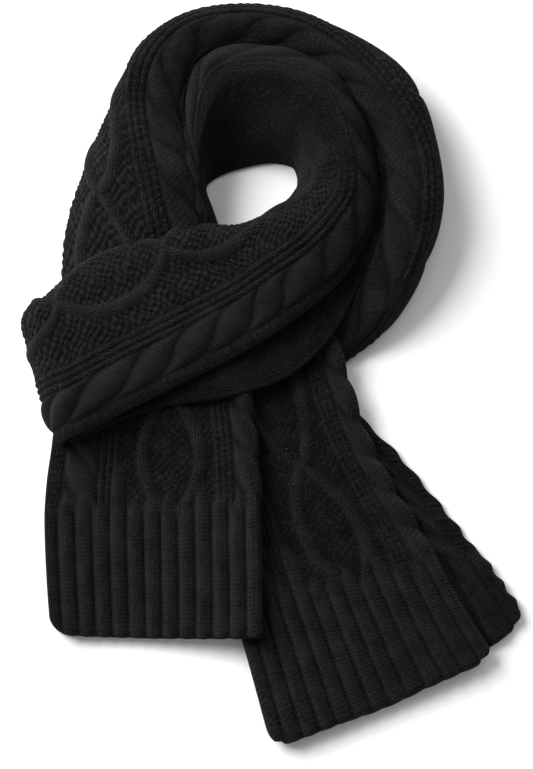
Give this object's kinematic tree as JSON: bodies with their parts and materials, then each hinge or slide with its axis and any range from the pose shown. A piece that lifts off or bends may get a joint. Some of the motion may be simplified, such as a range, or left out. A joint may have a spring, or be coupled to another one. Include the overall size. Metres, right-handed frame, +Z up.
{
  "type": "knit scarf",
  "caption": "Dark cable-knit scarf folded lengthwise and tied in a pulled-through loop, lying flat with its ribbed ends spread below.",
  "frame": {"origin": "centre of the outline at the level of the table the scarf lies on", "axes": "+Z up off the table, +Y from the ribbed ends towards the top of the loop, +X to the side where the outer turn comes out from under the ends"},
  "size_m": [0.3296, 0.5068, 0.0633],
  "materials": {
    "knit": "matt charcoal wool-blend knit with raised cables, lozenges and ribs"
  },
  "bodies": {
    "root": {"inner_turn": "knit", "inner_turn_end": "knit", "outer_turn": "knit", "left_tail": "knit", "right_tail_front": "knit", "right_tail_back": "knit"}
  },
  "joints": []
}
